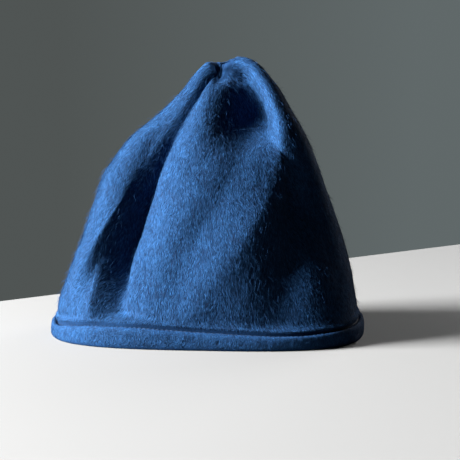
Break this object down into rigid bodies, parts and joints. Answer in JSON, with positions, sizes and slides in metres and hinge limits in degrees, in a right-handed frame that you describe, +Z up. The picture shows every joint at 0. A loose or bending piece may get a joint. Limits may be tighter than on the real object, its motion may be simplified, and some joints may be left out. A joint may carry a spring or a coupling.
{
  "type": "cloth beanie hat",
  "caption": "Soft brushed wool beanie standing on its folded hem band, with a hollow crown gathered to a peak of loose folds.",
  "frame": {"origin": "on the floor under the middle of the hem band, at the bottom middle of the hat's box", "axes": "+Z up from the hem to the gathered top, +X to the hat's wider side seen from the front, -Y out of the front, the side with the hollow under the large fold"},
  "size_m": [0.216, 0.147, 0.1899],
  "materials": {
    "crown": "deep blue brushed wool cloth with a short hairy nap",
    "hem_band": "the same brushed wool cloth, folded and stitched into a roll"
  },
  "bodies": {
    "root": {"crown": "crown", "hem_band": "hem_band"}
  },
  "joints": []
}
